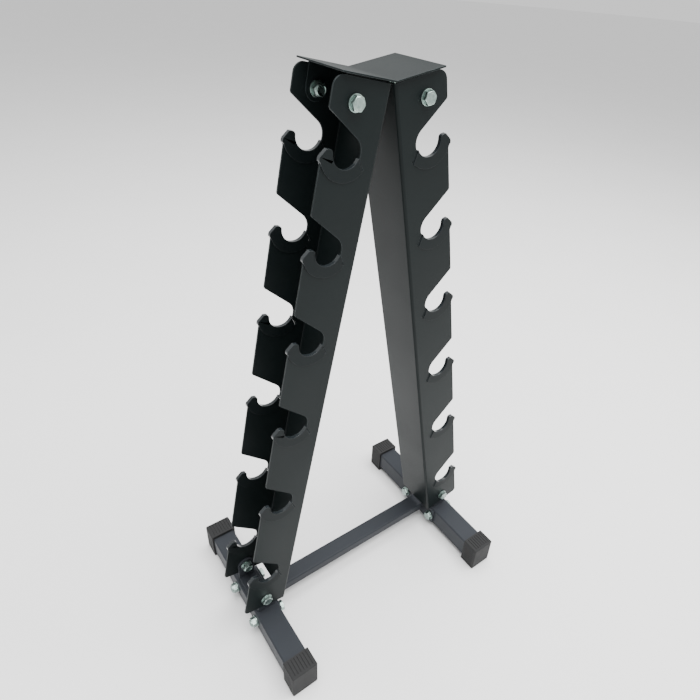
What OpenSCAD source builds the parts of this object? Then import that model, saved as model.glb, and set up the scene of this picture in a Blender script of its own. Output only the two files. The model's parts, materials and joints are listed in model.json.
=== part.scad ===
// Free-standing A-frame rack for six tiers of dumbbells.
// Millimetres. +Z up, front towards -Y, origin on the floor under the middle.
// Each upright is one folded channel that leans in to meet its twin under the
// top cap. A channel has a web and two flanges, and each flange is cut into
// six hooks. Places on an upright are given in its own sloping frame: t runs
// outwards from the web and s runs up the slope from the lower end.

/* [Base] */
// Distance between the centre lines of the two feet
foot_spacing = 500; // [400:5:640]
// Depth of the rack over the rubber caps, front to back
rack_depth = 430; // [340:5:560]
// Outside width and height of the square foot tube
foot_size = 50; // [40:1:64]
// Wall of the foot tube
foot_wall = 2.5; // [1.5:0.5:4]
// Height of the underside of the foot tube above the floor
foot_lift = 10; // [4:1:16]
// Corner radius of the square tubes
tube_corner_r = 4; // [2:0.5:6]
// Width of the crossbar tube, front to back
crossbar_w = 38; // [25:1:50]
// Height of the crossbar tube
crossbar_h = 25; // [20:1:30]
// Wall of the crossbar tube
crossbar_wall = 2; // [1.5:0.5:3]
// Thickness of the plates welded to the crossbar's ends
end_plate_t = 4; // [3:0.5:6]
// Distance of each crossbar bolt from the rack's middle line
end_bolt_y = 48; // [42:1:60]

/* [Rubber caps] */
// Length of each rubber cap along the foot
cap_len = 40; // [30:1:60]
// Thickness of the rubber over the end of the tube
cap_end_t = 6; // [4:0.5:10]
// How far the rubber stands out beside the tube
cap_side_t = 3.5; // [2.5:0.5:6]
// How far the rubber stands up above the tube
cap_top_t = 8; // [3:0.5:10]

/* [Uprights] */
// Width of each channel over its two flanges
channel_w = 104; // [80:2:130]
// Thickness of the folded steel sheet
sheet_t = 3; // [2:0.5:4]
// Outside radius of the folds
fold_r = 5; // [4:0.5:8]
// Gap between the two webs where they meet under the cap
top_gap = 4; // [2:0.5:12]
// Height of the web's lower edge above the foot
bottom_gap = 8; // [4:1:20]
// Corner radius of the ears at the top of each flange
ear_r = 16; // [8:1:24]

/* [Hooks] */
// Distance down the slope from the top edge to the first seat
top_to_seat = 96; // [90:0.5:130]
// Distance from the first seat to the second
first_pitch = 144; // [120:1:180]
// How much longer each following distance is
pitch_step = 12.5; // [0:0.5:20]
// Distance from the lowest seat to the lower end of the channel
seat_to_end = 106; // [90:1:140]
// Radius of the seat cut into each flange
seat_r = 25; // [20:0.5:30]
// Width of steel left between the web and a seat
neck_w = 30; // [24:1:40]
// Width of each upstanding tip
tip_w = 14; // [12:0.5:20]
// Slope of the lead-in above each seat, in degrees
lead_in = 32; // [22:1:40]

/* [Seat liners] */
// Thickness of the liner over the seat
liner_t = 2.5; // [2:0.25:4]
// Thickness of the liner's skirts on the flange faces
skirt_t = 2; // [1:0.25:3]
// Width of the skirts below the seat
skirt_w = 17; // [10:0.5:24]

/* [Top cap] */
// Length of each wing of the cap along its slope
wing_len = 88; // [76:1:94]
// Thickness of the cap plate
wing_t = 2.5; // [2:0.5:4]
// Slope of the wings, in degrees
wing_slope = 10.6; // [7:0.2:11]
// How far the cap stands out past the flanges, front and rear
wing_over = 7; // [4:1:14]
// Thickness of the tabs under the cap
tab_t = 3; // [2:0.5:4]

/* [Fasteners] */
// Thread diameter of all the bolts
bolt_d = 12; // [10:1:14]
// Distance of the top bolts from the channel's top edge
top_bolt_down = 31; // [26:0.5:40]
// Distance of the foot bolts up the slope from the channel's lower end
foot_bolt_up = 24; // [20:1:32]
// Distance of the foot bolts outwards from the web
foot_bolt_out = 48; // [40:1:56]

/* [Hidden] */

$fn = 48;
LEFT = -1;
RIGHT = 1;
FRONT = -1;
REAR = 1;
CUT = 1;                 // how far a cutting shape runs past what it cuts
TIERS = 6;

// Clearances
hole_gap = 0.3;          // round a bolt, on the radius
liner_gap = 0.15;        // between a liner and its steel
pocket_gap = 0.3;        // between a rubber cap and its tube

// The upright in its own frame
seat_t = neck_w + seat_r;
flange_d = seat_t + seat_r + tip_w;
upright_len = top_to_seat + (TIERS - 1) * first_pitch
    + pitch_step * (TIERS - 1) * (TIERS - 2) / 2 + seat_to_end;
top_bolt_s = upright_len - top_bolt_down;
tip_rise = 1;            // how far a tip stands above the middle of its seat
tip_r = 5;               // rounding of a tip towards its seat
tip_chamfer = 7;         // cut-off on a tip's outer corner
tooth_r = 5;             // rounding of the corner above a lead-in
merge = 0.1;             // how deep lines and arcs run into a seat's circle
toe_r = 8;               // rounding of the channel's lowest corner
slit_w = 2.4;
slit_from = [neck_w + 1.2, -7];
slit_to = slit_from + [-9.7, -15];
slit_len = norm(slit_to - slit_from);
slit_angle = atan2(slit_to.y - slit_from.y, slit_to.x - slit_from.x);
slit_mouth = 2;          // how far the slit's cut reaches back into the throat
tail_root = 1.6;         // how far a liner's tail reaches back into the liner
tail_short = 8;          // how much of the slit the tail leaves open

// A liner from the side, with its seat's middle at [seat_t, 0]
liner_from = 195;        // start of the seat on the web's side, in degrees
hood_r = 5.5;            // rounding of the hood towards the seat
hood_flat = 6;           // end of the hood's flat top, in from the flange's edge
nose_out = 4.5;          // how far the nose stands out past the flange's edge
nose_s = -11;            // height of the nose
nose_round = [0.6, 1.8]; // how its corner is broken above and below
skirt_mid = [seat_t + 1, 1];
skirt_r = seat_r + skirt_w;
skirt_edge = flange_d + 0.6 - skirt_mid.x;
skirt_to = -143;         // end of the skirts beside the slit, in degrees
slit_side = [1.3, -0.8]; // the skirts' corner beside the slit's mouth
nub_t = 0.9;             // the liner's inner end, just off the neck
nub_s = -5.4;

// The lean that brings both webs together at the top and the foot bolts over
// the middle of the feet
foot_x = foot_spacing / 2;
lean_run = upright_len - foot_bolt_up;
lean = asin((foot_x - top_gap / 2) / norm([lean_run, foot_bolt_out])) - atan(foot_bolt_out / lean_run);

// Base
foot_top = foot_lift + foot_size;
foot_mid = foot_lift + foot_size / 2;
foot_face_x = foot_x - foot_size / 2;
cap_w = foot_size + 2 * cap_side_t;
cap_h = foot_top + cap_top_t;
cap_r = 3;               // rounding of a rubber cap's edges
foot_len = rack_depth - 2 * (cap_end_t + pocket_gap);

// Lower corner of the web, where the sloping frame has its origin
web_x = top_gap / 2 + upright_len * sin(lean);
web_z = foot_top + bottom_gap;
flange_mid_y = channel_w / 2 - sheet_t / 2;
inner_w = channel_w - 2 * sheet_t;

// Crossbar and its end plates
end_plate_edge = 4;      // plate's edge below the foot's top face
end_plate_h = foot_size - 2 * end_plate_edge;
end_plate_reach = 13;    // plate past each bolt
end_plate_r = 4;         // rounding of the plate's corners
end_plate_w = 2 * (end_bolt_y + end_plate_reach);
crossbar_drop = 2;       // crossbar's top below the plate's top
crossbar_mid = foot_top - end_plate_edge - crossbar_drop - crossbar_h / 2;
crossbar_len = 2 * (foot_face_x - end_plate_t);

// Saddles, welded on the feet inside the channels
saddle_t = 4;            // thickness of a saddle's base and tongues
saddle_w = 36;
saddle_bolt_z = web_z + foot_bolt_up * cos(lean) + foot_bolt_out * sin(lean);

// Fasteners, sized from the thread
head_w = bolt_d * 1.58;
head_h = bolt_d * 0.62;
washer_d = bolt_d * 2;
washer_t = 2.5;
nut_h = bolt_d * 0.8;
collar_h = bolt_d * 0.2;
thread_end = -1.5;
hole_d = bolt_d + 2 * hole_gap;
hex_d = head_w / cos(30);

// Top cap: held by its tabs, its underside stands this far above the flanges' ears
cap_gap = 2.5;
ear_t = flange_d - ear_r;
ear_x = top_gap / 2 + ear_t * cos(lean);
ear_z = web_z + upright_len * cos(lean) + ear_t * sin(lean);
cap_under = ear_z - ear_x * tan(wing_slope) + cap_gap;
tab_w = 36;              // width of the tabs under the cap

// Height of a seat's middle along the slope, counted from the top tier
function seat_s(tier) = upright_len - top_to_seat - (tier - 1) * first_pitch
    - pitch_step * (tier - 1) * (tier - 2) / 2;

// Points on an arc, in equal steps
function arc(mid, r, from, to, steps) = [
    for (i = [0 : steps]) let (a = from + (to - from) * i / steps) mid + r * [cos(a), sin(a)]
];

// ---- placing ----

// Mirrors to the left side, as the parts are drawn on the right
module on_side(side) {
    mirror([side == LEFT ? 1 : 0, 0, 0]) children();
}

// Mirrors to the rear, as the parts are drawn at the front
module at_end(end) {
    mirror([0, end == REAR ? 1 : 0, 0]) children();
}

// The upright's sloping frame: X is t, Z is s
module on_slope() {
    translate([web_x, 0, web_z]) rotate([0, -lean, 0]) children();
}

// Extrudes a drawing in X and Z along Y, from y0 to y1
module along_y(y0, y1) {
    translate([0, y1, 0]) rotate([90, 0, 0]) linear_extrude(height = y1 - y0) children();
}

// ---- profiles ----

module rounded_square(w, h, r) {
    square([w - 2 * r, h], center = true);
    square([w, h - 2 * r], center = true);
    for (x = [-1, 1], y = [-1, 1]) translate([x * (w / 2 - r), y * (h / 2 - r)]) circle(r = r);
}

module tube_profile(w, h, wall) {
    difference() {
        rounded_square(w, h, tube_corner_r);
        rounded_square(w - 2 * wall, h - 2 * wall, tube_corner_r - wall / 2);
    }
}

// The folded section of an upright: web at t = 0, flanges pointing outwards
module channel_profile() {
    difference() {
        union() {
            translate([fold_r, -channel_w / 2]) square([flange_d - fold_r, channel_w]);
            translate([0, fold_r - channel_w / 2]) square([fold_r + CUT, channel_w - 2 * fold_r]);
            for (y = [-1, 1]) translate([fold_r, y * (channel_w / 2 - fold_r)]) circle(r = fold_r);
        }
        translate([fold_r, -inner_w / 2]) square([flange_d, inner_w]);
        translate([sheet_t, fold_r - channel_w / 2]) square([flange_d, channel_w - 2 * fold_r]);
        for (y = [-1, 1]) translate([fold_r, y * (channel_w / 2 - fold_r)]) circle(r = fold_r - sheet_t);
    }
}

// The open throat of one hook, with its seat's middle at [seat_t, 0].
// A gap makes it smaller all round, so that a liner can stand off the steel.
module throat(gap) {
    r = seat_r - gap;
    edge = flange_d + gap;
    top = tip_rise + gap;
    tip_reach = r + tip_r - merge;
    dip = asin((tip_r - top) / tip_reach);
    lead_reach = r - merge;
    lead_rise = (edge - seat_t) * tan(lead_in) + lead_reach / cos(lead_in);
    corner_s = lead_rise + tooth_r * tan(45 - lead_in / 2);
    translate([seat_t, 0]) circle(r = r);
    polygon(concat(
        [[seat_t, 0]],
        arc([seat_t + tip_reach * cos(dip), top - tip_r], tip_r, 180 - dip, 90, 5),
        [[edge - tip_chamfer, top], [edge, top - tip_chamfer]],
        [[edge + CUT, top - tip_chamfer], [edge + CUT, corner_s]],
        arc([edge - tooth_r, corner_s], tooth_r, 0, lead_in - 90, 5),
        [[seat_t - lead_reach * sin(lead_in), lead_reach * cos(lead_in)]]
    ));
}

// A strip along the slit, from a distance before its mouth to one past it
module slit_strip(width, before, past) {
    translate(slit_from) rotate(slit_angle) translate([-before, -width / 2])
        square([before + slit_len + past, width]);
}

// Outline of a liner from the side
module liner_outline() {
    r = seat_r - liner_t;
    top = tip_rise + liner_t;
    nose = [flange_d + nose_out, nose_s];
    polygon(concat(
        arc([seat_t, 0], r, liner_from, 360, 22),
        arc([seat_t + r + hood_r, top - hood_r], hood_r, 180, 90, 5),
        [[flange_d - hood_flat, top]],
        [nose + [-nose_round.x, nose_round.y], nose, nose - nose_round],
        arc(skirt_mid, skirt_r, -acos(skirt_edge / skirt_r), skirt_to, 22),
        [slit_from + slit_side, [neck_w + nub_t, nub_s]]
    ));
}

// ---- uprights ----

module upright() {
    on_slope() difference() {
        linear_extrude(height = upright_len) channel_profile();
        along_y(-channel_w, channel_w) for (tier = [1 : TIERS]) translate([0, seat_s(tier)]) {
            throat(0);
            slit_strip(slit_w, slit_mouth, 0);
        }
        along_y(-channel_w, channel_w) upright_corners();
        along_y(-channel_w, channel_w) translate([seat_t, top_bolt_s]) circle(d = hole_d);
        along_y(-channel_w, channel_w) translate([foot_bolt_out, foot_bolt_up]) circle(d = hole_d);
    }
}

// What is cut away to round the ears and the lowest corners
module upright_corners() {
    difference() {
        translate([flange_d - ear_r, upright_len - ear_r]) square(ear_r + CUT);
        translate([flange_d - ear_r, upright_len - ear_r]) circle(r = ear_r);
    }
    difference() {
        translate([flange_d - toe_r, -CUT]) square([toe_r + CUT, toe_r + CUT]);
        translate([flange_d - toe_r, toe_r]) circle(r = toe_r);
    }
}

module left_upright() {
    color("#33373a") on_side(LEFT) upright();
}

module right_upright() {
    color("#33373a") on_side(RIGHT) upright();
}

// ---- seat liners ----

module liner(side, end, tier) {
    width = sheet_t + 2 * skirt_t;
    slot = sheet_t + 2 * liner_gap;
    color("#17191a") on_side(side) at_end(end) on_slope() translate([0, -flange_mid_y, seat_s(tier)]) {
        difference() {
            along_y(-width / 2, width / 2) liner_outline();
            along_y(-slot / 2, slot / 2) difference() {
                translate([0, -2 * seat_r]) square([flange_d + liner_gap, 2 * seat_r + tip_r]);
                throat(liner_gap);
            }
        }
        liner_tail();
    }
}

// The thin tail of a liner, tucked into the slit
module liner_tail() {
    along_y(-sheet_t / 2, sheet_t / 2) slit_strip(slit_w - 4 * liner_gap, tail_root, -tail_short);
}

// ---- top cap ----

module top_cap() {
    color("#4a4e50") union() {
        along_y(-channel_w / 2 - wing_over, channel_w / 2 + wing_over) for (side = [LEFT, RIGHT])
            mirror([side == LEFT ? 1 : 0, 0]) wing();
        for (side = [LEFT, RIGHT], end = [FRONT, REAR]) on_side(side) at_end(end) cap_tab();
    }
}

// One wing from the side, from the middle line outwards
module wing() {
    polygon([
        [0, cap_under],
        [wing_len * cos(wing_slope), cap_under + wing_len * sin(wing_slope)],
        [
            wing_len * cos(wing_slope) - wing_t * sin(wing_slope),
            cap_under + wing_len * sin(wing_slope) + wing_t * cos(wing_slope)
        ],
        [0, cap_under + wing_t / cos(wing_slope)]
    ]);
}

// A tab welded under the cap that lies inside a flange and takes a top bolt
module cap_tab() {
    reach = top_bolt_down + 2 * wing_t;
    difference() {
        along_y(-inner_w / 2, tab_t - inner_w / 2) difference() {
            translate([web_x, web_z]) rotate(lean) {
                translate([seat_t, top_bolt_s]) circle(d = tab_w);
                translate([seat_t - tab_w / 2, top_bolt_s]) square([tab_w, reach]);
            }
            translate([0, cap_under + wing_t / 2]) rotate(wing_slope) square(2 * wing_len);
        }
        on_slope() translate([seat_t, 0, top_bolt_s]) rotate([90, 0, 0])
            cylinder(d = hole_d, h = 2 * channel_w, center = true);
    }
}

// ---- base ----

module foot() {
    difference() {
        translate([foot_x, foot_len / 2, foot_mid]) rotate([90, 0, 0])
            linear_extrude(height = foot_len) tube_profile(foot_size, foot_size, foot_wall);
        at_end_bolts() cylinder(d = hole_d, h = 4 * foot_size, center = true);
    }
}

module left_foot() {
    color("#43474a") on_side(LEFT) foot();
}

module right_foot() {
    color("#43474a") on_side(RIGHT) foot();
}

// A folded strap on the foot: a base and two upright tongues inside the flanges
module saddle() {
    tongue_h = saddle_bolt_z - foot_top;
    difference() {
        translate([foot_x, 0, foot_top]) union() {
            translate([-saddle_w / 2, -inner_w / 2, 0]) cube([saddle_w, inner_w, saddle_t]);
            for (end = [FRONT, REAR]) at_end(end) along_y(-inner_w / 2, saddle_t - inner_w / 2) {
                translate([-saddle_w / 2, 0]) square([saddle_w, tongue_h]);
                translate([0, tongue_h]) circle(d = saddle_w);
            }
        }
        translate([foot_x, 0, saddle_bolt_z]) rotate([90, 0, 0])
            cylinder(d = hole_d, h = 2 * channel_w, center = true);
    }
}

module left_saddle() {
    color("#3c4043") on_side(LEFT) saddle();
}

module right_saddle() {
    color("#3c4043") on_side(RIGHT) saddle();
}

module crossbar() {
    color("#43474a") translate([-crossbar_len / 2, 0, crossbar_mid]) rotate([90, 0, 90])
        linear_extrude(height = crossbar_len) tube_profile(crossbar_w, crossbar_h, crossbar_wall);
}

module end_plate() {
    difference() {
        translate([foot_face_x - end_plate_t, 0, foot_mid]) rotate([90, 0, 90])
            linear_extrude(height = end_plate_t) rounded_square(end_plate_w, end_plate_h, end_plate_r);
        at_end_bolts() cylinder(d = hole_d, h = foot_size, center = true);
    }
}

module left_end_plate() {
    color("#43474a") on_side(LEFT) end_plate();
}

module right_end_plate() {
    color("#43474a") on_side(RIGHT) end_plate();
}

// ---- rubber caps ----

module foot_cap(side, end) {
    pocket = foot_size + 2 * pocket_gap;
    color("#3a3d3e") on_side(side) at_end(end) translate([foot_x, -rack_depth / 2, 0]) difference() {
        translate([0, cap_len, cap_h / 2]) rotate([90, 0, 0])
            linear_extrude(height = cap_len) rounded_square(cap_w, cap_h, cap_r);
        translate([0, cap_len + CUT, foot_mid]) rotate([90, 0, 0])
            linear_extrude(height = cap_len + CUT - cap_end_t)
            rounded_square(pocket, pocket, tube_corner_r);
    }
}

// ---- fasteners ----
// A set is drawn with its head upwards, its head side's face at height 0 and
// the nut side's face a grip below

module bolt(grip) {
    length = grip + 2 * washer_t + nut_h + collar_h + thread_end;
    color("#b9c0bd") {
        translate([0, 0, washer_t]) cylinder(d = hex_d, h = head_h, $fn = 6);
        translate([0, 0, washer_t - length]) cylinder(d = bolt_d, h = length);
    }
}

module washers(grip) {
    color("#b9c0bd") for (z = [0, -grip - washer_t]) translate([0, 0, z]) difference() {
        cylinder(d = washer_d, h = washer_t);
        translate([0, 0, -CUT]) cylinder(d = hole_d, h = washer_t + 2 * CUT);
    }
}

module nut(grip) {
    color("#b9c0bd") translate([0, 0, -grip - washer_t - nut_h]) difference() {
        union() {
            cylinder(d = hex_d, h = nut_h, $fn = 6);
            translate([0, 0, -collar_h]) cylinder(d = head_w * 0.9, h = collar_h + CUT);
        }
        translate([0, 0, -collar_h - CUT]) cylinder(d = bolt_d, h = nut_h + collar_h + 2 * CUT);
    }
}

// The four top bolts, heads outwards, through flange and tab
top_grip = sheet_t + tab_t;
module at_top_bolts() {
    for (side = [LEFT, RIGHT], end = [FRONT, REAR]) on_side(side) at_end(end) on_slope()
        translate([seat_t, -channel_w / 2, top_bolt_s]) rotate([90, 0, 0]) children();
}

// The four saddle bolts, heads outwards, through flange and tongue
saddle_grip = sheet_t + saddle_t;
module at_saddle_bolts() {
    for (side = [LEFT, RIGHT], end = [FRONT, REAR]) on_side(side) at_end(end)
        translate([foot_x, -channel_w / 2, saddle_bolt_z]) rotate([90, 0, 0]) children();
}

// The four crossbar bolts, heads inwards, through end plate and foot
crossbar_grip = end_plate_t + foot_size;
module at_end_bolts() {
    for (end = [FRONT, REAR]) at_end(end)
        translate([foot_face_x - end_plate_t, -end_bolt_y, foot_mid]) rotate([0, -90, 0]) children();
}

module at_crossbar_bolts() {
    for (side = [LEFT, RIGHT]) on_side(side) at_end_bolts() children();
}

module top_bolts() {
    at_top_bolts() bolt(top_grip);
}

module top_washers() {
    at_top_bolts() washers(top_grip);
}

module top_nuts() {
    at_top_bolts() nut(top_grip);
}

module saddle_bolts() {
    at_saddle_bolts() bolt(saddle_grip);
}

module saddle_washers() {
    at_saddle_bolts() washers(saddle_grip);
}

module saddle_nuts() {
    at_saddle_bolts() nut(saddle_grip);
}

module crossbar_bolts() {
    at_crossbar_bolts() bolt(crossbar_grip);
}

module crossbar_washers() {
    at_crossbar_bolts() washers(crossbar_grip);
}

module crossbar_nuts() {
    at_crossbar_bolts() nut(crossbar_grip);
}

left_upright();
right_upright();
top_cap();
left_foot();
right_foot();
left_saddle();
right_saddle();
crossbar();
left_end_plate();
right_end_plate();
foot_cap(LEFT, FRONT);  // left_front_foot_cap
foot_cap(LEFT, REAR);  // left_rear_foot_cap
foot_cap(RIGHT, FRONT);  // right_front_foot_cap
foot_cap(RIGHT, REAR);  // right_rear_foot_cap
top_bolts();
top_washers();
top_nuts();
saddle_bolts();
saddle_washers();
saddle_nuts();
crossbar_bolts();
crossbar_washers();
crossbar_nuts();
liner(LEFT, FRONT, 1);  // left_front_liner_1
liner(LEFT, FRONT, 2);  // left_front_liner_2
liner(LEFT, FRONT, 3);  // left_front_liner_3
liner(LEFT, FRONT, 4);  // left_front_liner_4
liner(LEFT, FRONT, 5);  // left_front_liner_5
liner(LEFT, FRONT, 6);  // left_front_liner_6
liner(LEFT, REAR, 1);  // left_rear_liner_1
liner(LEFT, REAR, 2);  // left_rear_liner_2
liner(LEFT, REAR, 3);  // left_rear_liner_3
liner(LEFT, REAR, 4);  // left_rear_liner_4
liner(LEFT, REAR, 5);  // left_rear_liner_5
liner(LEFT, REAR, 6);  // left_rear_liner_6
liner(RIGHT, FRONT, 1);  // right_front_liner_1
liner(RIGHT, FRONT, 2);  // right_front_liner_2
liner(RIGHT, FRONT, 3);  // right_front_liner_3
liner(RIGHT, FRONT, 4);  // right_front_liner_4
liner(RIGHT, FRONT, 5);  // right_front_liner_5
liner(RIGHT, FRONT, 6);  // right_front_liner_6
liner(RIGHT, REAR, 1);  // right_rear_liner_1
liner(RIGHT, REAR, 2);  // right_rear_liner_2
liner(RIGHT, REAR, 3);  // right_rear_liner_3
liner(RIGHT, REAR, 4);  // right_rear_liner_4
liner(RIGHT, REAR, 5);  // right_rear_liner_5
liner(RIGHT, REAR, 6);  // right_rear_liner_6
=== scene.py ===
# %% [markdown]
# # An A-frame dumbbell rack
# Two folded steel channels lean together under a folded cap. Every channel flange is cut into six hooks, each hook
# wears a plastic liner, and the whole stands on two square tubes with ribbed rubber caps. The engineering model gives
# the sizes of every part. This lesson loads it and gives each part what a drawing leaves out: softened edges, weld
# beads, rubber ribs, real fasteners and finishes.

import json
import math

import bmesh
import bpy
from mathutils import Matrix, Vector


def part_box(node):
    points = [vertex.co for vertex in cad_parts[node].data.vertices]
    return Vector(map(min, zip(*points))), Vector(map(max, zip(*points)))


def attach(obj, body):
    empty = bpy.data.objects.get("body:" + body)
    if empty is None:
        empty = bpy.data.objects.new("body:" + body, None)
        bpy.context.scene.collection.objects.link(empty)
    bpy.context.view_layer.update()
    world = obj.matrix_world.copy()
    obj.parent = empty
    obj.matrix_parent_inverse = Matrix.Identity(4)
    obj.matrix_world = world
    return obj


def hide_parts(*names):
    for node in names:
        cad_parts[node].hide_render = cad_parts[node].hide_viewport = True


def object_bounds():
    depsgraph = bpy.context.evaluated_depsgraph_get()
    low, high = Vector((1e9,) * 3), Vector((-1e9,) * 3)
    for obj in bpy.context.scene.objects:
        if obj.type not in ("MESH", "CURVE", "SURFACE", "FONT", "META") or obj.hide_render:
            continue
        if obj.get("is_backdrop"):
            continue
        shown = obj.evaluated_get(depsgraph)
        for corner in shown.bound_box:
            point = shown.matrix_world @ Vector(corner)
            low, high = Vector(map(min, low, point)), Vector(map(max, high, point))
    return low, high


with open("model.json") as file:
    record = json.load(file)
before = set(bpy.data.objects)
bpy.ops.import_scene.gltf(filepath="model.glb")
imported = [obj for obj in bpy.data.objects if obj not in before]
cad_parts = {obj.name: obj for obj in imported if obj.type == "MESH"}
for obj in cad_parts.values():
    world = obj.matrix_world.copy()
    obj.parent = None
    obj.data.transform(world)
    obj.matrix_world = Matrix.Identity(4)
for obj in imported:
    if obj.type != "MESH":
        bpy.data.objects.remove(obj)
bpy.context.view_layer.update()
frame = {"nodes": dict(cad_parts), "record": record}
MM = 0.001

# %% [markdown]
# ## A small language for finishes
# A finish is a graph of nodes. Wiring it by hand takes three lines a node, so a thin class wraps an output and gives
# it the arithmetic signs: writing `speckle * 0.2 + 0.4` adds a Multiply and an Add node. A second class holds one
# material and makes any other node from its type, its settings and the values of its sockets.

# %% The finish language
class Wire:
    """An output of a node. Arithmetic on it adds Math nodes."""

    def __init__(self, finish, output):
        self.finish, self.output = finish, output

    def _math(self, operation, a, b):
        return self.finish.node("ShaderNodeMath", {"operation": operation}, {0: a, 1: b})

    def __add__(self, other):
        return self._math("ADD", self, other)

    def __sub__(self, other):
        return self._math("SUBTRACT", self, other)

    def __mul__(self, other):
        return self._math("MULTIPLY", self, other)


class Finish:
    """One material, with its Principled shader and the object's own coordinates ready to use."""

    def __init__(self, name, **constants):
        self.material = bpy.data.materials.new(name)
        self.material.use_nodes = True
        self.tree = self.material.node_tree
        self.shader = self.tree.nodes["Principled BSDF"]
        for socket, value in constants.items():
            self.shader.inputs[socket.replace("_", " ")].default_value = value
        self.place = self.node("ShaderNodeTexCoord", out="Object")

    def node(self, kind, settings=None, sockets=None, out=0):
        made = self.tree.nodes.new(kind)
        for name, value in (settings or {}).items():
            setattr(made, name, value)
        for name, value in (sockets or {}).items():
            if isinstance(value, Wire):
                self.tree.links.new(value.output, made.inputs[name])
            else:
                made.inputs[name].default_value = value
        return Wire(self, made.outputs[out])

    def noise(self, scale, detail=2.0, roughness=0.5):
        return self.node("ShaderNodeTexNoise", {"noise_dimensions": "3D"},
                         {"Vector": self.place, "Scale": scale, "Detail": detail, "Roughness": roughness})

    def span(self, value, low, high, to_low=0.0, to_high=1.0):
        return self.node("ShaderNodeMapRange", {"clamp": True},
                         {"Value": value, "From Min": low, "From Max": high, "To Min": to_low, "To Max": to_high})

    def blend(self, factor, first, second):
        return self.node("ShaderNodeMix", {"data_type": "RGBA"}, {0: factor, 6: first, 7: second}, out=2)

    def bump(self, height, distance, strength):
        return self.node("ShaderNodeBump", None, {"Height": height, "Distance": distance, "Strength": strength})

    def painted(self, attribute):
        """A value that the mesh itself carries, such as `edge`."""
        return self.node("ShaderNodeAttribute", {"attribute_name": attribute, "attribute_type": "GEOMETRY"}, out="Fac")

    def use(self, **wires):
        for socket, wire in wires.items():
            self.tree.links.new(wire.output, self.shader.inputs[socket.replace("_", " ")])
        return self.material


def tone(red, green, blue):
    return (red, green, blue, 1.0)


# %% [markdown]
# ## Satin powder coat
# The steel is powder coated: dry paint dust is baked into a tough skin about 0.08 mm thick. It dries with a very fine
# orange-peel ripple, its gloss drifts slightly over a long part, and it draws back from sharp edges, which leaves them
# a little smoother. A ripple under a millimetre goes in the bump, the drift in colour and roughness. The edges are
# found from an attribute that the edge rounding below writes on the mesh. They get less roughness and a lighter
# colour, which is a painted highlight standing in for the light that the edges catch.

# %% Powder coat
def powder_coat(name, base, deep, painted_edge_highlight):
    coat = Finish(name, Metallic=0.0, IOR=1.5, Specular_IOR_Level=0.11)
    drift = coat.noise(5.0, 3.0, 0.55)
    speckle = coat.noise(900.0, 1.0)
    ripple = coat.noise(520.0, 2.0, 0.6)
    edge = coat.painted("edge")
    # Painted highlight: noise breaks up the rounded edges, which are then painted lighter and made a little less
    # rough.
    edge_highlight_breakup = coat.noise(60.0, 4.0, 0.65)
    edge_highlight_mask = coat.span(edge * coat.span(edge_highlight_breakup, 0.35, 0.75, 0.35, 1.0), 0.0, 1.0)
    body = coat.blend(coat.span(drift, 0.3, 0.7), tone(*deep), tone(*base))
    body = coat.blend(coat.span(speckle, 0.62, 0.8, 0.0, 0.35), body, tone(*[c * 1.6 for c in base]))
    # Painted highlight: the rounded edges are painted in a lighter tone.
    body = coat.blend(edge_highlight_mask * 0.75, body, tone(*painted_edge_highlight))
    gloss = coat.span(drift, 0.3, 0.7, 0.46, 0.39) + coat.span(speckle, 0.4, 0.6, -0.02, 0.02) - edge_highlight_mask * 0.08
    skin = coat.bump(ripple, 0.00012, 0.35)
    return coat.use(Base_Color=body, Roughness=gloss, Normal=skin)


# The third tone of each coat is the lighter colour of its painted edge highlight.
frame_coat = powder_coat("satin charcoal coat", base=(0.0070, 0.0102, 0.0104), deep=(0.0058, 0.0086, 0.0088),
                         painted_edge_highlight=(0.056, 0.066, 0.069))
base_coat = powder_coat("satin slate coat", base=(0.0290, 0.0320, 0.0375), deep=(0.0250, 0.0280, 0.0330),
                        painted_edge_highlight=(0.060, 0.066, 0.074))
print("coats", frame_coat.name, "and", base_coat.name)

# %% [markdown]
# ## Ribbed rubber, moulded nylon and zinc
# The foot caps are moulded rubber: matt, slightly chalky, with a grain like fine sand, and their rounded edges are
# painted lighter, a painted highlight. The hook liners are nylon, darker and smoother, polished a little where handles
# slide. There they are also painted lighter, a painted sheen, and their rounded edges get a painted highlight. Bolts,
# nuts and washers are bright zinc plated, which is a metal with a cloudy, faintly green-white bloom and tiny scratches
# from the spanner.

# %% Rubber, nylon and zinc
def moulded_rubber(name):
    rubber = Finish(name, Metallic=0.0, IOR=1.45, Specular_IOR_Level=0.32)
    grain = rubber.noise(1400.0, 3.0, 0.6)
    cloud = rubber.noise(38.0, 4.0, 0.6)
    edge = rubber.painted("edge")
    body = rubber.blend(rubber.span(cloud, 0.35, 0.7), tone(0.0136, 0.0139, 0.0144), tone(0.0194, 0.0197, 0.0203))
    # Painted highlight: the rounded edges are painted lighter, standing in for the light that they catch.
    body = rubber.blend(edge * 0.45, body, tone(0.0408, 0.0415, 0.0422))
    gloss = rubber.span(cloud, 0.3, 0.7, 0.66, 0.8)
    return rubber.use(Base_Color=body, Roughness=gloss, Normal=rubber.bump(grain, 0.00015, 0.5))


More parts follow.
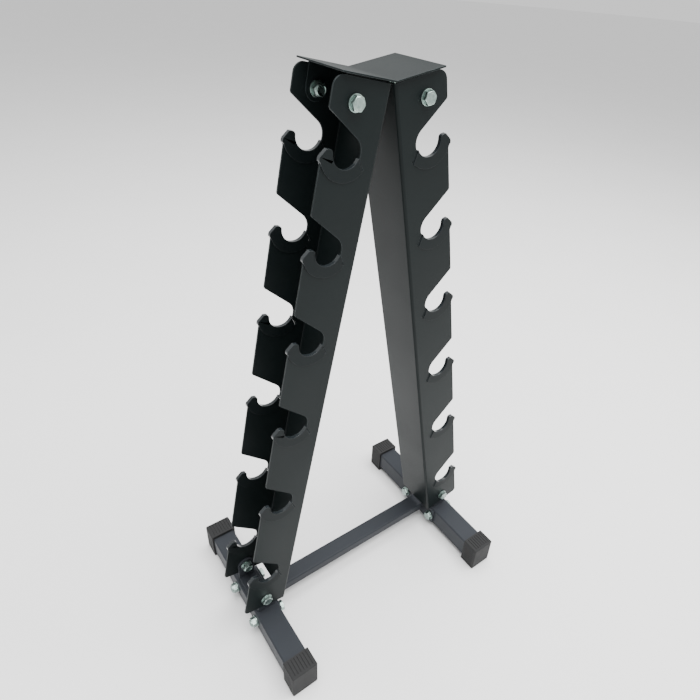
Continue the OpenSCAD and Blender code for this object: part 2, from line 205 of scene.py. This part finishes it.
def moulded_nylon(name):
    nylon = Finish(name, Metallic=0.0, IOR=1.53, Specular_IOR_Level=0.11, Coat_Roughness=0.22, Coat_IOR=1.5)
    flow = nylon.noise(24.0, 3.0, 0.5)
    texture = nylon.noise(2200.0, 1.0)
    edge = nylon.painted("edge")
    polish_and_sheen = nylon.painted("polish_and_sheen")
    body = nylon.blend(nylon.span(flow, 0.3, 0.7), tone(0.0046, 0.0072, 0.0076), tone(0.0060, 0.0088, 0.0092))
    # Painted sheen: the faces that do not lie against the flange are painted lighter, as well as made glossier below.
    body = nylon.blend(polish_and_sheen * 0.6, body, tone(0.020, 0.024, 0.027))
    # Painted highlight: the rounded edges are painted lighter.
    body = nylon.blend(edge * 0.35, body, tone(0.045, 0.050, 0.053))
    gloss = nylon.span(flow, 0.3, 0.7, 0.48, 0.56) - polish_and_sheen * 0.26
    pores = nylon.bump(texture, 0.00006, 0.3)
    return nylon.use(Base_Color=body, Roughness=gloss, Coat_Weight=polish_and_sheen * 0.8, Normal=pores)


def bright_zinc(name):
    zinc = Finish(name, Metallic=1.0, IOR=1.5)
    bloom = zinc.noise(190.0, 4.0, 0.6)
    scratch = zinc.node("ShaderNodeTexWave", {"wave_type": "BANDS", "bands_direction": "DIAGONAL"},
                        {"Vector": zinc.place, "Scale": 900.0, "Distortion": 14.0, "Detail": 3.0})
    body = zinc.blend(zinc.span(bloom, 0.3, 0.7), tone(0.23, 0.31, 0.285), tone(0.42, 0.51, 0.475))
    gloss = zinc.span(bloom, 0.3, 0.7, 0.38, 0.25) + scratch * 0.04
    return zinc.use(Base_Color=body, Roughness=gloss, Normal=zinc.bump(scratch, 0.00003, 0.25))


rubber, nylon, zinc = moulded_rubber("ribbed rubber"), moulded_nylon("liner nylon"), bright_zinc("bright zinc")
print("finishes", [m.name for m in bpy.data.materials])

# %% [markdown]
# ## Taking over a part from the drawing
# A part of the engineering model comes as loose triangles. A copy of it is welded back together, its flat faces are
# joined to single faces, and its sharp outer edges are rounded by half a millimetre, as deburring and a coat of
# powder do. The rounding faces get the attribute `edge`, which the finishes read. Rounding the mesh itself was chosen
# over a modifier because the attribute can then be written on exactly the new faces.

# %% Copy, weld and round a part
def welded_copy(node, closeness=0.02 * MM):
    bm = bmesh.new()
    bm.from_mesh(frame["nodes"][node].data)
    bmesh.ops.remove_doubles(bm, verts=bm.verts, dist=closeness)
    bmesh.ops.dissolve_limit(bm, angle_limit=math.radians(1.5), verts=bm.verts, edges=bm.edges)
    return bm


def round_edges(bm, width, sharper_than=32.0, segments=2):
    """Rounds the sharp outer edges of a closed mesh and marks the new faces."""
    # The layer made here marks the rounding faces, which the finishes paint lighter as a painted edge highlight.
    painted_edge_highlight = bm.loops.layers.float.new("edge")
    limit = math.radians(sharper_than)
    sharp = [e for e in bm.edges if e.is_manifold and e.is_convex and e.calc_face_angle(0.0) > limit]
    made = bmesh.ops.bevel(bm, geom=sharp, offset=width, offset_type="OFFSET", affect="EDGES", segments=segments,
                           profile=0.5, material=-1, clamp_overlap=False, loop_slide=True)
    for face in made["faces"]:
        for loop in face.loops:
            loop[painted_edge_highlight] = 1.0
    return len(sharp)


def finish_piece(bm, name, nodes, finish, crease=38.0):
    """Turns a bmesh into a named piece that stands for its engineering nodes."""
    bmesh.ops.recalc_face_normals(bm, faces=bm.faces)
    for face in bm.faces:
        face.smooth = True
    for e in bm.edges:
        e.smooth = not (e.is_manifold and e.calc_face_angle(0.0) > math.radians(crease))
    mesh = bpy.data.meshes.new(name)
    bm.to_mesh(mesh)
    bm.free()
    piece = bpy.data.objects.new(name, mesh)
    bpy.context.scene.collection.objects.link(piece)
    mesh.materials.append(finish)
    even = piece.modifiers.new("flat faces stay flat", "WEIGHTED_NORMAL")
    even.keep_sharp = True
    even.weight = 80
    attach(piece, "root")
    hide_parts(*nodes)
    return piece


# %% [markdown]
# ## Uprights, cap and base
# The uprights are one sheet each: the hooks are laser cut while it is flat, then two long folds make the channel. The
# cap is a gull-wing sheet with four tabs, and the base is square tube. All are steel, so one routine serves them: a
# close weld of the copy, and half a millimetre off every outer edge.

# %% Steel parts
EDGE_ROUNDING = 0.5 * MM
STEEL = {
    "left_upright": frame_coat, "right_upright": frame_coat, "top_cap": frame_coat,
    "left_foot": base_coat, "right_foot": base_coat, "crossbar": base_coat,
    "left_end_plate": base_coat, "right_end_plate": base_coat,
    "left_saddle": base_coat, "right_saddle": base_coat,
}
for node, coat in STEEL.items():
    bm = welded_copy(node, closeness=0.25 * MM)
    rounded = round_edges(bm, EDGE_ROUNDING)
    piece = finish_piece(bm, node + "_steel", [node], coat)
    print(node, "edges rounded", rounded, "faces", len(piece.data.polygons))

# %% [markdown]
# ## Hook liners
# Twenty-four nylon liners sit on the hooks: a hood over the tip, a skirt on both faces of the flange and a thin tail
# pushed into a slit. Three things are shaped on the copy. The hood's nose is blunted, as a mould would round it. The
# tail's end is drawn out until it nearly fills its slit. Then every outer edge is rounded as on steel, but smoother.
# The faces that do not lie against the flange, where a handle slides, get an attribute that makes the nylon glossier
# there and also paints it lighter, a painted sheen. To find the nose and the tail, each point is measured from its
# seat's middle, up the slope and outwards, with the seats that the record lists.

# %% Liners
seats = {m["name"]: Vector(m["pos_m"]) for m in frame["record"]["mounts"] if "_seat_" in m["name"]}
SLIT_MOUTH, SLIT_RUN = Vector((-23.8, -7.0)) * MM, Vector((-9.7, -15.0)).normalized()
TAIL_FROM, TAIL_ASIDE, TAIL_STEP = 9.0 * MM, 1.3 * MM, 7.0 * MM
TAIL_IN_SHEET = 1.55 * MM
NOSE_DEPTH, NOSE_CUT, NOSE_MIDDLE, NOSE_SPREAD = 1.2 * MM, 1.3 * MM, -11.0 * MM, 0.8


def liner(node):
    """Shapes one liner. Counts the points of its nose and tail and the edges that were rounded."""
    side, _, _, tier = node.split("_")
    seat = seats[side + "_seat_" + tier]
    up = (seats[side + "_seat_1"] - seats[side + "_seat_6"]).normalized()
    hand = 1.0 if side == "right" else -1.0
    out = Vector((up.z * hand, 0.0, -up.x * hand))
    low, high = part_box(node)
    middle = (low.y + high.y) / 2
    bm = welded_copy(node, closeness=0.06 * MM)
    reach = max((v.co - seat).dot(out) for v in bm.verts)
    nose, tail = [], []
    for v in bm.verts:
        spot = Vector(((v.co - seat).dot(out), (v.co - seat).dot(up)))
        along = (spot - SLIT_MOUTH).dot(SLIT_RUN)
        aside = abs((spot - SLIT_MOUTH).cross(SLIT_RUN))
        if spot.x > reach - NOSE_DEPTH:
            nose.append((v, spot))
        elif along > TAIL_FROM and aside < TAIL_ASIDE and abs(v.co.y - middle) < TAIL_IN_SHEET:
            tail.append(v)
    for v, spot in nose:
        v.co += up * (spot.y - NOSE_MIDDLE) * NOSE_SPREAD - out * NOSE_CUT
    bmesh.ops.translate(bm, verts=tail, vec=(out * SLIT_RUN.x + up * SLIT_RUN.y) * TAIL_STEP)
    rounded = round_edges(bm, EDGE_ROUNDING, sharper_than=30.0, segments=3)
    # This attribute marks the faces that do not lie against the flange: glossier nylon there, and a painted sheen in
    # its colour.
    polish_and_sheen = bm.loops.layers.float.new("polish_and_sheen")
    bm.normal_update()
    for face in bm.faces:
        for loop in face.loops:
            loop[polish_and_sheen] = 1.0 if abs(face.normal.y) < 0.6 else 0.0
    finish_piece(bm, node + "_nylon", [node], nylon, crease=50.0)
    return len(nose), len(tail), rounded


liner_nodes = sorted(n for n in frame["nodes"] if "_liner_" in n)
shaped = {liner(node) for node in liner_nodes}
print("liners", len(liner_nodes), "nose points, tail points and edges rounded", sorted(shaped))

# %% [markdown]
# ## Ribbed rubber caps
# Each foot ends in a thick rubber boot. A mould gives it broad ribs along the tube on its top, fine ones on its sides
# and a tread below. A block is rounded, cut into strips by flat planes, and the strips between the ribs are pushed
# in. The mouth is pushed in as a pocket for the tube, and the last few millimetres at the outer end stay smooth.

# %% Rubber caps
TOP_RIBS, TOP_GROOVE, TOP_DEPTH = 8, 2.0 * MM, 1.5 * MM
SIDE_RIBS, SIDE_GROOVE, SIDE_DEPTH = 9, 1.3 * MM, 0.6 * MM
TREAD_DEPTH, CORNER, PLAIN_END, RIM = 2.2 * MM, 3.0 * MM, 5.0 * MM, 3.5 * MM
POCKET_DEPTH = 33.9 * MM
AT = 0.01 * MM


def cut_planes(bm, axis, places):
    """Cuts all faces along planes square to an axis."""
    normal = [0.0, 0.0, 0.0]
    normal[axis] = 1.0
    for at in places:
        point = [0.0, 0.0, 0.0]
        point[axis] = at
        bmesh.ops.bisect_plane(bm, geom=bm.verts[:] + bm.edges[:] + bm.faces[:], dist=1e-6, plane_co=point,
                               plane_no=normal)


def press_in(bm, chosen, shift):
    """Pushes a patch of faces into the block."""
    out = bmesh.ops.extrude_face_region(bm, geom=chosen)["geom"]
    bmesh.ops.translate(bm, verts=[g for g in out if isinstance(g, bmesh.types.BMVert)], vec=shift)
    bmesh.ops.delete(bm, geom=chosen, context="FACES")


def strips(low, high, count, groove):
    """Borders of the grooves between a number of ribs that fill low..high."""
    rib = (high - low - (count - 1) * groove) / count
    return [(low + (i + 1) * rib + i * groove, low + (i + 1) * (rib + groove)) for i in range(count - 1)]


def within(value, spans):
    return any(a < value < b for a, b in spans)


def rubber_cap(node):
    low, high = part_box(node)
    front = -1.0 if low.y < 0 else 1.0
    outer, mouth = (low.y, high.y) if front < 0 else (high.y, low.y)
    centre = (low + high) / 2
    size = high - low
    bm = bmesh.new()
    bmesh.ops.create_cube(bm, size=1.0, matrix=Matrix.Translation(centre) @ Matrix.Diagonal((*size, 1.0)))
    edges = [e for e in bm.edges if min(abs(v.co.y - mouth) for v in e.verts) > AT or
             abs(e.verts[0].co.y - e.verts[1].co.y) > AT]
    bmesh.ops.bevel(bm, geom=edges, offset=CORNER, offset_type="OFFSET", affect="EDGES", segments=4, profile=0.5,
                    material=-1, clamp_overlap=True)
    across = strips(low.x + CORNER, high.x - CORNER, TOP_RIBS, TOP_GROOVE)
    upright = strips(low.z + CORNER, high.z - CORNER, SIDE_RIBS, SIDE_GROOVE)
    plain = outer - front * PLAIN_END
    rim = mouth + front * RIM
    cut_planes(bm, 0, [x for pair in across for x in pair])
    cut_planes(bm, 2, [z for pair in upright for z in pair])
    cut_planes(bm, 1, [plain, rim])
    ribbed = (min(plain, rim), max(plain, rim))

    def patch(test):
        return [f for f in bm.faces if test(f.calc_center_median(), f.normal)]

    def along(c):
        return ribbed[0] < c.y < ribbed[1]

    press_in(bm, patch(lambda c, n: n.z > 0.99 and within(c.x, across) and along(c)), (0, 0, -TOP_DEPTH))
    press_in(bm, patch(lambda c, n: n.x > 0.99 and within(c.z, upright) and along(c)), (-SIDE_DEPTH, 0, 0))
    press_in(bm, patch(lambda c, n: n.x < -0.99 and within(c.z, upright) and along(c)), (SIDE_DEPTH, 0, 0))
    tread = patch(lambda c, n: n.z < -0.3 and within(c.x, across) and (c.y - rim) * front > 0)
    press_in(bm, tread, (0, 0, TREAD_DEPTH))
    # The pocket is as wide as the tube that it holds.
    foot_low, foot_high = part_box("left_foot" if "left" in node else "right_foot")
    cut_planes(bm, 0, [foot_low.x, foot_high.x])
    cut_planes(bm, 2, [foot_low.z, foot_high.z])
    hole = patch(lambda c, n: n.y * front < -0.99 and abs(c.y - mouth) < AT and
                 foot_low.x < c.x < foot_high.x and foot_low.z < c.z < foot_high.z)
    press_in(bm, hole, (0, front * POCKET_DEPTH, 0))
    bmesh.ops.dissolve_limit(bm, angle_limit=math.radians(0.5), verts=bm.verts, edges=bm.edges)
    round_edges(bm, 0.35 * MM, sharper_than=40.0)
    return finish_piece(bm, node + "_rubber", [node], rubber)


for node in ("left_front_foot_cap", "left_rear_foot_cap", "right_front_foot_cap", "right_rear_foot_cap"):
    piece = rubber_cap(node)
    print(node, "faces", len(piece.data.polygons))

# %% [markdown]
# ## Fasteners
# Twelve bolts hold the rack, with two washers and a self-locking nut each. A hexagon head is a hexagonal bar whose
# end was turned to a cone, which leaves the curved corners everyone knows. One circle is lifted level by level, and
# each level says how far out it lies at every angle: constant for turned parts, and 1/cos for flats. Where the
# hexagon reaches past the cone, its height drops. The places and sizes are measured on the engineering model.

# %% Lifting and measuring
def stack(bm, matrix, levels, segments=48, closed=False):
    """Lifts a circle through levels, each a function angle -> (radius, height), and caps or joins its ends."""
    ring = bmesh.ops.create_circle(bm, cap_ends=False, segments=segments, radius=1.0)["verts"]
    edges = list({e for v in ring for e in v.link_edges})
    every, first = list(ring), edges
    for count, level in enumerate(levels):
        if count:
            out = bmesh.ops.extrude_edge_only(bm, edges=edges)["geom"]
            ring = [g for g in out if isinstance(g, bmesh.types.BMVert)]
            edges = [g for g in out if isinstance(g, bmesh.types.BMEdge)]
            every += ring
        for v in ring:
            angle = math.atan2(v.co.y, v.co.x)
            radius, height = level(angle)
            v.co = (radius * math.cos(angle), radius * math.sin(angle), height)
    if closed:
        bmesh.ops.bridge_loops(bm, edges=first + edges)
    else:
        bmesh.ops.edgeloop_fill(bm, edges=first)
        bmesh.ops.edgeloop_fill(bm, edges=edges)
    bmesh.ops.transform(bm, matrix=matrix, verts=every)


def turned(radius, height):
    return lambda angle: (radius, height)


def hexagon(flats, height, cone, limit):
    """A hexagon's outline, whose height follows a 30 degree cone where it reaches past a limit."""
    def level(angle):
        from_corner = abs((angle + math.pi / 6) % (math.pi / 3) - math.pi / 6)
        radius = flats / 2 / math.cos(math.pi / 6 - from_corner)
        return radius, height + cone * max(0.0, radius - limit) * math.tan(math.radians(30))
    return level


def solids(node):
    """The separate solids of a node, as lists of points."""
    bm = welded_copy(node)
    seen, found = set(), []
    for start in bm.verts:
        if start in seen:
            continue
        seen.add(start)
        todo, points = [start], []
        while todo:
            v = todo.pop()
            points.append(v.co.copy())
            for e in v.link_edges:
                other = e.other_vert(v)
                if other not in seen:
                    seen.add(other)
                    todo.append(other)
        found.append(points)
    bm.free()
    return found


def off_axis(point, middle, axis):
    """The way from a fastener's axis straight out to a point."""
    away = point - middle
    away[axis] = 0.0
    return away


def measure(points, axis):
    """Middle of a solid across its axis, its two ends, its furthest corner and its bore."""
    low = Vector([min(p[i] for p in points) for i in range(3)])
    high = Vector([max(p[i] for p in points) for i in range(3)])
    middle = (low + high) / 2
    middle[axis] = 0.0
    away = [off_axis(p, middle, axis) for p in points]
    return middle, low[axis], high[axis], max(away, key=lambda p: p.length), min(p.length for p in away)


def frame_at(middle, axis, height, up, corner):
    """A turning matrix: z along the fastener towards its head, x to a corner of its hexagon."""
    z = Vector((0, 0, 0))
    z[axis] = up
    x = corner.normalized()
    y = z.cross(x)
    origin = middle.copy()
    origin[axis] = height
    return Matrix.Translation(origin) @ Matrix((x, y, z)).transposed().to_4x4()


def collar_side(points, axis, middle):
    """+1 when the nut's narrow collar is at its higher end."""
    reach = {}
    for p in points:
        height = round(p[axis], 6)
        reach[height] = max(reach.get(height, 0.0), off_axis(p, middle, axis).length)
    return 1.0 if reach[max(reach)] < reach[min(reach)] else -1.0


print("solids in", {name: len(solids(name)) for name in ("top_bolts", "top_nuts", "top_washers")})

# %% [markdown]
# A bolt's thread is made as rings one pitch apart, close enough to a helix at this size, over the part of the shank
# that carries the nut. A self-locking nut is a hexagon with a narrower round collar, which grips the thread with a
# plastic ring.

# %% Bolts, washers and nuts
SHANK, CREST, ROOT, TIP = 6.0 * MM, 6.0 * MM, 5.2 * MM, 4.6 * MM
PITCH, TURNS, LEAD = 1.75 * MM, 13, 1.0 * MM
HEAD_BEYOND = 8.0 * MM
NUT_HEXAGON = 9.6 * MM


def across_flats(corner):
    return 2 * corner.length * math.cos(math.pi / 6)


def bolt(bm, points, axis):
    middle, low, high, corner, _ = measure(points, axis)
    head_ends = [p[axis] for p in points if off_axis(p, middle, axis).length > HEAD_BEYOND]
    up = 1.0 if sum(head_ends) / len(head_ends) > (low + high) / 2 else -1.0
    top, under = (max(head_ends), min(head_ends)) if up > 0 else (min(head_ends), max(head_ends))
    tip = low if up > 0 else high
    length, head, flats = abs(under - tip), abs(top - under), across_flats(corner)
    levels = [turned(TIP, -length)]
    for i in range(TURNS):
        z = -length + LEAD + i * PITCH
        levels += [turned(ROOT, z), turned(CREST, z + 0.6 * MM), turned(CREST, z + 0.95 * MM)]
    levels += [
        turned(SHANK, -length + LEAD + TURNS * PITCH), turned(SHANK, 0.0),
        turned(flats / 2 - 0.4 * MM, 0.0), hexagon(flats, 0.15 * MM, 0.6, flats / 2),
        hexagon(flats, head - 0.25 * MM, -1.0, flats / 2 - 0.3 * MM), turned(flats / 2 - 0.55 * MM, head),
        turned(flats / 2 - 2.2 * MM, head), turned(flats / 2 - 2.7 * MM, head - 0.25 * MM),
    ]
    stack(bm, frame_at(middle, axis, under, up, corner), levels)


def nut(bm, points, axis):
    middle, low, high, corner, bore = measure(points, axis)
    up = collar_side(points, axis, middle)
    flats, whole = across_flats(corner), high - low
    collar = flats / 2 - 1.2 * MM
    stack(bm, frame_at(middle, axis, low if up > 0 else high, up, corner), [
        turned(bore, 0.0), turned(flats / 2 - 0.5 * MM, 0.0), hexagon(flats, 0.2 * MM, 1.0, flats / 2 - 0.3 * MM),
        hexagon(flats, NUT_HEXAGON - 0.3 * MM, -1.0, flats / 2 - 0.3 * MM), turned(collar + 0.2 * MM, NUT_HEXAGON),
        turned(collar, NUT_HEXAGON + 0.2 * MM), turned(collar, whole - 0.9 * MM),
        turned(collar - 0.5 * MM, whole - 0.15 * MM), turned(collar - 1.1 * MM, whole),
        turned(bore + 0.5 * MM, whole), turned(bore, whole - 0.5 * MM),
    ], closed=True)


def washer(bm, points, axis):
    middle, low, high, corner, bore = measure(points, axis)
    rim, thick = corner.length, high - low
    stack(bm, frame_at(middle, axis, low, 1.0, corner), [
        turned(bore, 0.0), turned(rim - 0.45 * MM, 0.0), turned(rim - 0.1 * MM, 0.15 * MM), turned(rim, 0.5 * MM),
        turned(rim, thick - 0.5 * MM), turned(rim - 0.1 * MM, thick - 0.15 * MM), turned(rim - 0.45 * MM, thick),
        turned(bore + 0.3 * MM, thick), turned(bore, thick - 0.3 * MM),
    ], segments=56, closed=True)


def fastener_set(group, axis):
    for part, build in (("_bolts", bolt), ("_nuts", nut), ("_washers", washer)):
        bm = bmesh.new()
        for points in solids(group + part):
            build(bm, points, axis)
        bmesh.ops.remove_doubles(bm, verts=bm.verts, dist=0.001 * MM)
        piece = finish_piece(bm, group + part + "_zinc", [group + part], zinc, crease=22.0)
        print(piece.name, "faces", len(piece.data.polygons))


X_AXIS, Y_AXIS = 0, 1
fastener_set("top", Y_AXIS)
fastener_set("saddle", Y_AXIS)
fastener_set("crossbar", X_AXIS)

# %% [markdown]
# ## Weld beads
# The crossbar is welded to its end plates and the saddles to the feet. A weld bead is a row of small frozen ripples,
# so it is the same lifted circle, swelling a little at every ripple and tapering at its ends, half sunk in the corner
# that it fills.

# %% Weld beads
RIPPLE = 1.3 * MM


def bead(bm, start, end, radius=1.6 * MM):
    start, end = Vector(start), Vector(end)
    run = end - start
    turn = run.to_track_quat("Z", "Y").to_matrix().to_4x4()
    count = max(6, round(run.length / RIPPLE))
    levels = [turned(radius * 0.3, 0.0)]
    for i in range(count):
        at = (i + 0.5) / count
        taper = min(1.0, 6 * at + 0.45, 6 * (1 - at) + 0.45)
        levels.append(turned(radius * taper * 0.86, (i + 0.15) / count * run.length))
        levels.append(turned(radius * taper, at * run.length))
    levels.append(turned(radius * 0.3, run.length))
    stack(bm, Matrix.Translation(start) @ turn, levels, segments=10)


welds = bmesh.new()
bar_low, bar_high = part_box("crossbar")
for x in (bar_low.x, bar_high.x):
    for z in (bar_low.z, bar_high.z):
        bead(welds, (x, bar_low.y + 3 * MM, z), (x, bar_high.y - 3 * MM, z))
    for y in (bar_low.y, bar_high.y):
        bead(welds, (x, y, bar_low.z + 3 * MM), (x, y, bar_high.z - 3 * MM))
for side in ("left", "right"):
    low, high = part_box(side + "_saddle")
    for x in (low.x, high.x):
        bead(welds, (x, low.y + 5 * MM, low.z + 0.4 * MM), (x, high.y - 5 * MM, low.z + 0.4 * MM), 2.0 * MM)
bead_piece = finish_piece(welds, "weld_beads", [], base_coat, crease=60.0)
print("weld faces", len(bead_piece.data.polygons))

# %% [markdown]
# ## Studio
# A plain pale floor and an even white room give soft light from everywhere. A very large lamp overhead lifts the cap,
# the tubes and the floor, and a small warm one at the right puts a faint sheen on the flanges.

# %% Floor and lamps
def floor():
    bm = bmesh.new()
    bmesh.ops.create_circle(bm, cap_ends=True, segments=96, radius=30.0)
    mesh = bpy.data.meshes.new("studio_floor")
    bm.to_mesh(mesh)
    bm.free()
    plane = bpy.data.objects.new("studio_floor", mesh)
    bpy.context.scene.collection.objects.link(plane)
    paper = Finish("pale paper", Roughness=0.9, Specular_IOR_Level=0.2)
    shade = paper.blend(paper.span(paper.noise(3.0), 0.2, 0.8), tone(0.88, 0.88, 0.88), tone(0.90, 0.90, 0.90))
    mesh.materials.append(paper.use(Base_Color=shade))
    plane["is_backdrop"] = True


def lamp(name, place, target, size, watts, colour):
    light = bpy.data.lights.new(name, "AREA")
    light.shape, light.size, light.energy, light.color = "DISK", size, watts, colour
    holder = bpy.data.objects.new(name, light)
    bpy.context.scene.collection.objects.link(holder)
    holder.location = place
    holder.rotation_euler = (Vector(target) - Vector(place)).to_track_quat("-Z", "Y").to_euler()


floor()
world = bpy.data.worlds.new("studio room")
bpy.context.scene.world = world
world.use_nodes = True
room = world.node_tree.nodes["Background"].inputs
room["Color"].default_value = tone(1.0, 1.0, 1.0)
room["Strength"].default_value = 0.95
lamp("softbox_over", place=(0.4, -0.3, 3.6), target=(0.0, 0.0, 0.4), size=4.0, watts=350.0, colour=(1.0, 1.0, 1.0))
lamp("softbox_right", place=(3.0, -1.4, 1.6), target=(0.0, 0.0, 0.6), size=1.2, watts=22.0, colour=(1.0, 0.96, 0.88))
print("lamps", [light.name for light in bpy.data.lights])

# %% [markdown]
# ## Camera
# The camera stands at the front left, above the rack, and looks down on it. Its direction is given by its azimuth,
# its elevation and a little roll, and three axes built from them make its matrix.

# %% Camera
CAMERA_PLACE = (-0.50496, -0.68933, 1.22918)
azimuth, elevation, roll = math.radians(-39.847), math.radians(34.224), math.radians(4.728)
back = Vector((math.sin(azimuth) * math.cos(elevation), -math.cos(azimuth) * math.cos(elevation), math.sin(elevation)))
aside = Vector((math.cos(azimuth), math.sin(azimuth), 0.0))
above = back.cross(aside)
level = math.cos(roll) * aside + math.sin(roll) * above
rise = -math.sin(roll) * aside + math.cos(roll) * above
view = bpy.data.cameras.new("camera")
view.lens, view.sensor_width, view.shift_x, view.shift_y = 28.466, 36.0, -0.0544, -0.0133
view.clip_start, view.clip_end = 0.02, 200.0
view.dof.use_dof = False
camera = bpy.data.objects.new("camera", view)
bpy.context.scene.collection.objects.link(camera)
turn = Matrix((level, rise, back)).transposed().to_4x4()
camera.matrix_world = Matrix.Translation(CAMERA_PLACE) @ turn
bpy.context.scene.camera = camera
print("camera at", [round(c, 3) for c in camera.location], "looking along", [round(-c, 3) for c in back])

# %% [markdown]
# ## Size
# The size of everything shown, the floor left out, is printed in millimetres. Nothing above may
# make the rack bigger than the engineering model.

# %% Sizes
low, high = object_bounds()
print("visual size in mm", [round((b - a) / MM, 2) for a, b in zip(low, high)])
